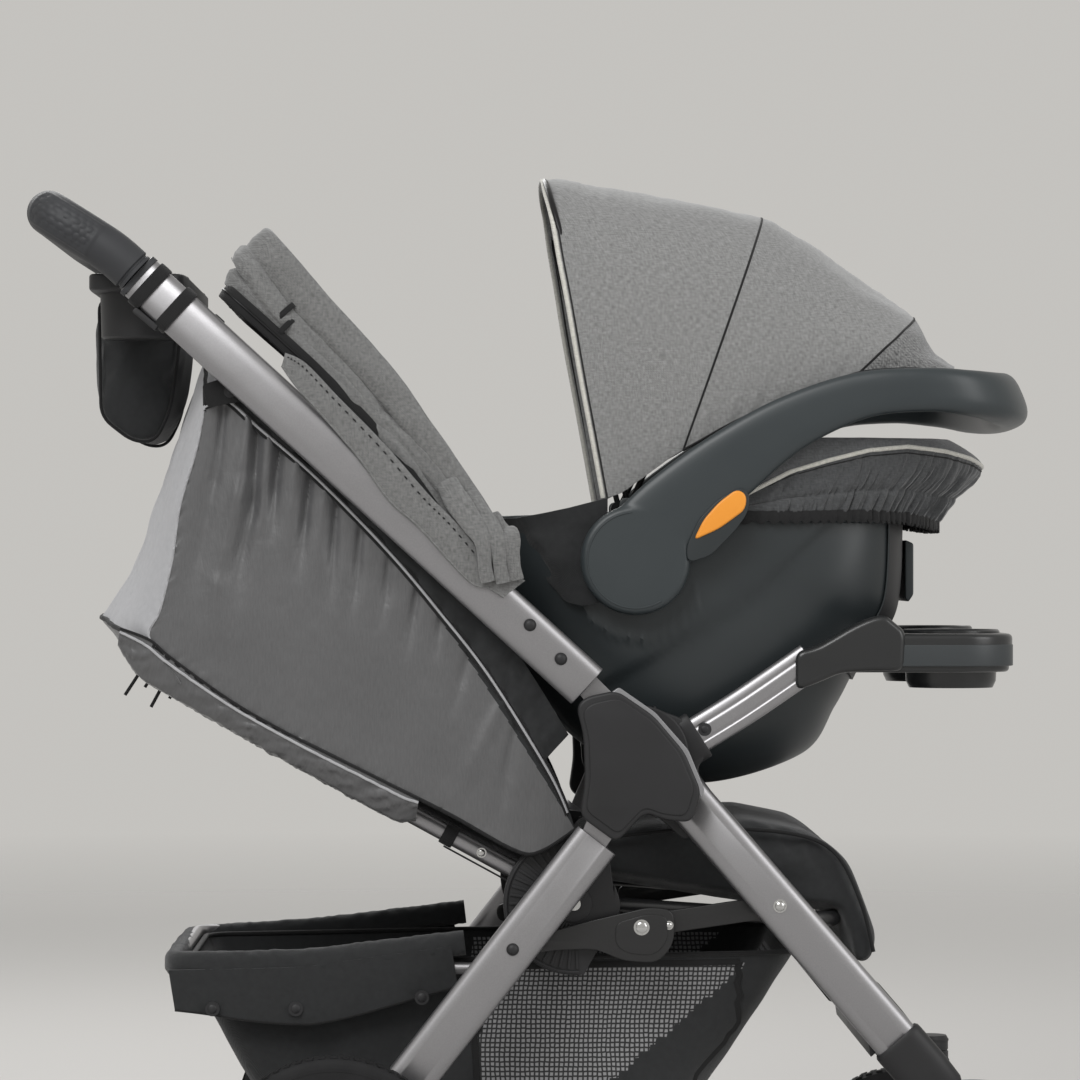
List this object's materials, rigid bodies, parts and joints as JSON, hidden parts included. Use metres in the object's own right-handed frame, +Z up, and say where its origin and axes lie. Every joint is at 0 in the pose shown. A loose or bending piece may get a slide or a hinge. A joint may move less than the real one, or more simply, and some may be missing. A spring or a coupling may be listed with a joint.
{
  "type": "travel system stroller",
  "caption": "Folding stroller with swivelling front wheels, cup tray, basket and reclining seat, carrying a docked infant carrier with a turning handle and sunshade.",
  "frame": {"origin": "centre of the bounding box at ground level", "axes": "+X towards the front wheels, +Y to the stroller's left side, +Z up"},
  "size_m": [1.005, 0.622, 1.1266],
  "materials": {
    "aluminium": "satin",
    "black_plastic": "fine moulded grain",
    "tray_plastic": "soft gloss",
    "grip": "textured",
    "black_steel": "satin black",
    "tyre": "moulded foam rubber",
    "rim": "moulded",
    "slate_plastic": "soft gloss",
    "shell_plastic": "soft gloss",
    "orange_plastic": "soft gloss",
    "grey_twill": "heather twill",
    "grey_satin": "satin weave",
    "dark_fabric": "dense weave"
  },
  "bodies": {
    "front_frame": {"front_leg_left": "aluminium", "front_leg_right": "aluminium", "hub_housing_left": "black_plastic", "hub_housing_right": "black_plastic", "hub_cover_left": "black_plastic", "hub_cover_right": "black_plastic", "caster_socket_left": "black_plastic", "caster_socket_right": "black_plastic", "tray_arm_left": "aluminium", "tray_arm_right": "aluminium", "recline_disc_left": "black_plastic", "recline_disc_right": "black_plastic", "footrest": "black_plastic", "cup_tray": "tray_plastic", "seat_frame": "black_steel", "seat_cushion": "dark_fabric", "basket": "dark_fabric"},
    "handle_frame": {"handle_tube_left": "aluminium", "handle_tube_right": "aluminium", "handle_grip": "grip", "organizer": "black_plastic", "organizer_pouch": "dark_fabric", "canopy_rear_bow": "black_steel", "canopy_fabric": "grey_twill", "curtain": "grey_satin"},
    "canopy_mid": {"canopy_mid_bow": "black_steel"},
    "canopy_front": {"canopy_front_bow": "black_steel"},
    "rear_frame": {"rear_leg_left": "aluminium", "rear_leg_right": "aluminium", "rear_axle": "black_steel", "basket_hoop": "aluminium"},
    "rear_wheel_left": {"rear_tyre_left": "tyre", "rear_rim_left": "rim"},
    "rear_wheel_right": {"rear_tyre_right": "tyre", "rear_rim_right": "rim"},
    "brake": {"brake_pedal": "black_steel"},
    "front_links": {"front_link_left": "black_steel", "front_link_right": "black_steel"},
    "rear_links": {"rear_link_left": "black_steel", "rear_link_right": "black_steel"},
    "seat_back": {"seat_back_frame": "aluminium", "seat_back_pad": "dark_fabric"},
    "caster_left": {"caster_fork_left": "black_plastic"},
    "caster_right": {"caster_fork_right": "black_plastic"},
    "front_wheel_left": {"front_tyre_left": "tyre", "front_rim_left": "rim"},
    "front_wheel_right": {"front_tyre_right": "tyre", "front_rim_right": "rim"},
    "carrier": {"carrier_shell": "shell_plastic", "carrier_pad": "dark_fabric", "sunshade_fabric": "grey_twill", "harness_buckle": "black_plastic"},
    "release_lever": {"release_lever": "shell_plastic"},
    "buckle_button": {"buckle_button": "orange_plastic"},
    "carrier_handle": {"carrier_handle": "slate_plastic"},
    "handle_button_left": {"handle_button_left": "orange_plastic"},
    "handle_button_right": {"handle_button_right": "orange_plastic"},
    "sunshade_mid": {"sunshade_mid_bow": "black_steel"},
    "sunshade_front": {"sunshade_front_bow": "black_steel"}
  },
  "joints": [
    {"name": "fold", "type": "hinge", "parent": "front_frame", "child": "handle_frame", "pos_m": [0.1004, 0, 0.534], "axis": [0, 1, 0], "range_deg": [0, 155], "deforming": ["curtain", "organizer_pouch", "basket"]},
    {"name": "rear_fold", "type": "hinge", "parent": "front_frame", "child": "rear_frame", "pos_m": [0.1004, 0, 0.534], "axis": [0, 1, 0], "range_deg": [-44, 0]},
    {"name": "front_link_fold", "type": "hinge", "parent": "front_frame", "child": "front_links", "pos_m": [0.2394, 0, 0.384], "axis": [0, 1, 0], "range_deg": [-87, 0]},
    {"name": "rear_link_fold", "type": "hinge", "parent": "rear_frame", "child": "rear_links", "pos_m": [-0.0246, 0, 0.345], "axis": [0, 1, 0], "range_deg": [0, 84]},
    {"name": "recline", "type": "hinge", "parent": "front_frame", "child": "seat_back", "pos_m": [0.0364, 0, 0.386], "axis": [0, 1, 0], "range_deg": [0, 38]},
    {"name": "canopy_open", "type": "hinge", "parent": "handle_frame", "child": "canopy_mid", "pos_m": [-0.0316, 0, 0.706], "axis": [0, 1, 0], "range_deg": [0, 10], "deforming": ["canopy_fabric"]},
    {"name": "canopy_front_open", "type": "hinge", "parent": "canopy_mid", "child": "canopy_front", "pos_m": [-0.0316, 0, 0.706], "axis": [0, 1, 0], "range_deg": [0, 10]},
    {"name": "rear_wheel_left_spin", "type": "hinge", "parent": "rear_frame", "child": "rear_wheel_left", "pos_m": [-0.1986, 0, 0.122], "axis": [0, 1, 0], "continuous": true},
    {"name": "rear_wheel_right_spin", "type": "hinge", "parent": "rear_frame", "child": "rear_wheel_right", "pos_m": [-0.1986, 0, 0.122], "axis": [0, 1, 0], "continuous": true},
    {"name": "brake_press", "type": "hinge", "parent": "rear_frame", "child": "brake", "pos_m": [-0.1986, 0, 0.122], "axis": [0, 1, 0], "range_deg": [-15, 0]},
    {"name": "caster_left_swivel", "type": "hinge", "parent": "front_frame", "child": "caster_left", "pos_m": [0.4299, 0.238, 0.194], "axis": [0, 0, 1], "continuous": true},
    {"name": "caster_right_swivel", "type": "hinge", "parent": "front_frame", "child": "caster_right", "pos_m": [0.4299, -0.238, 0.194], "axis": [0, 0, 1], "continuous": true},
    {"name": "front_wheel_left_spin", "type": "hinge", "parent": "caster_left", "child": "front_wheel_left", "pos_m": [0.3929, 0, 0.088], "axis": [0, 1, 0], "continuous": true},
    {"name": "front_wheel_right_spin", "type": "hinge", "parent": "caster_right", "child": "front_wheel_right", "pos_m": [0.3929, 0, 0.088], "axis": [0, 1, 0], "continuous": true},
    {"name": "carrier_lift", "type": "slide", "parent": "front_frame", "child": "carrier", "axis": [0, 0, 1], "range_m": [0, 0.32]},
    {"name": "carrier_handle_turn", "type": "hinge", "parent": "carrier", "child": "carrier_handle", "pos_m": [0.0974, 0, 0.725], "axis": [0, 1, 0], "range_deg": [-64, 0]},
    {"name": "handle_button_right_press", "type": "slide", "parent": "carrier_handle", "child": "handle_button_right", "axis": [0, 1, 0], "range_m": [0, 0.004], "stiffness_N_per_m": 300, "springref_m": -0.004},
    {"name": "handle_button_left_press", "type": "slide", "parent": "carrier_handle", "child": "handle_button_left", "axis": [0, -1, 0], "range_m": [0, 0.004], "stiffness_N_per_m": 300, "springref_m": -0.004},
    {"name": "release_lever_pull", "type": "hinge", "parent": "carrier", "child": "release_lever", "pos_m": [0.3789, 0, 0.746], "axis": [0, -1, 0], "range_deg": [0, 12], "stiffness_Nm_per_rad": 0.6, "springref_deg": -14.32},
    {"name": "buckle_button_press", "type": "slide", "parent": "carrier", "child": "buckle_button", "axis": [0, 0, -1], "range_m": [0, 0.003], "stiffness_N_per_m": 400, "springref_m": -0.003},
    {"name": "sunshade_open", "type": "hinge", "parent": "carrier", "child": "sunshade_mid", "pos_m": [0.0924, 0, 0.779], "axis": [0, 1, 0], "range_deg": [0, 25], "deforming": ["sunshade_fabric"]},
    {"name": "sunshade_front_open", "type": "hinge", "parent": "sunshade_mid", "child": "sunshade_front", "pos_m": [0.0924, 0, 0.779], "axis": [0, 1, 0], "range_deg": [0, 33.5]}
  ],
  "couplings": [
    {"joint": "rear_fold", "follows": "fold", "ratio": -0.2838},
    {"joint": "front_link_fold", "follows": "fold", "ratio": -0.56},
    {"joint": "rear_link_fold", "follows": "fold", "ratio": 0.537},
    {"joint": "canopy_front_open", "follows": "canopy_open", "ratio": 1},
    {"joint": "sunshade_front_open", "follows": "sunshade_open", "ratio": 1.32}
  ]
}
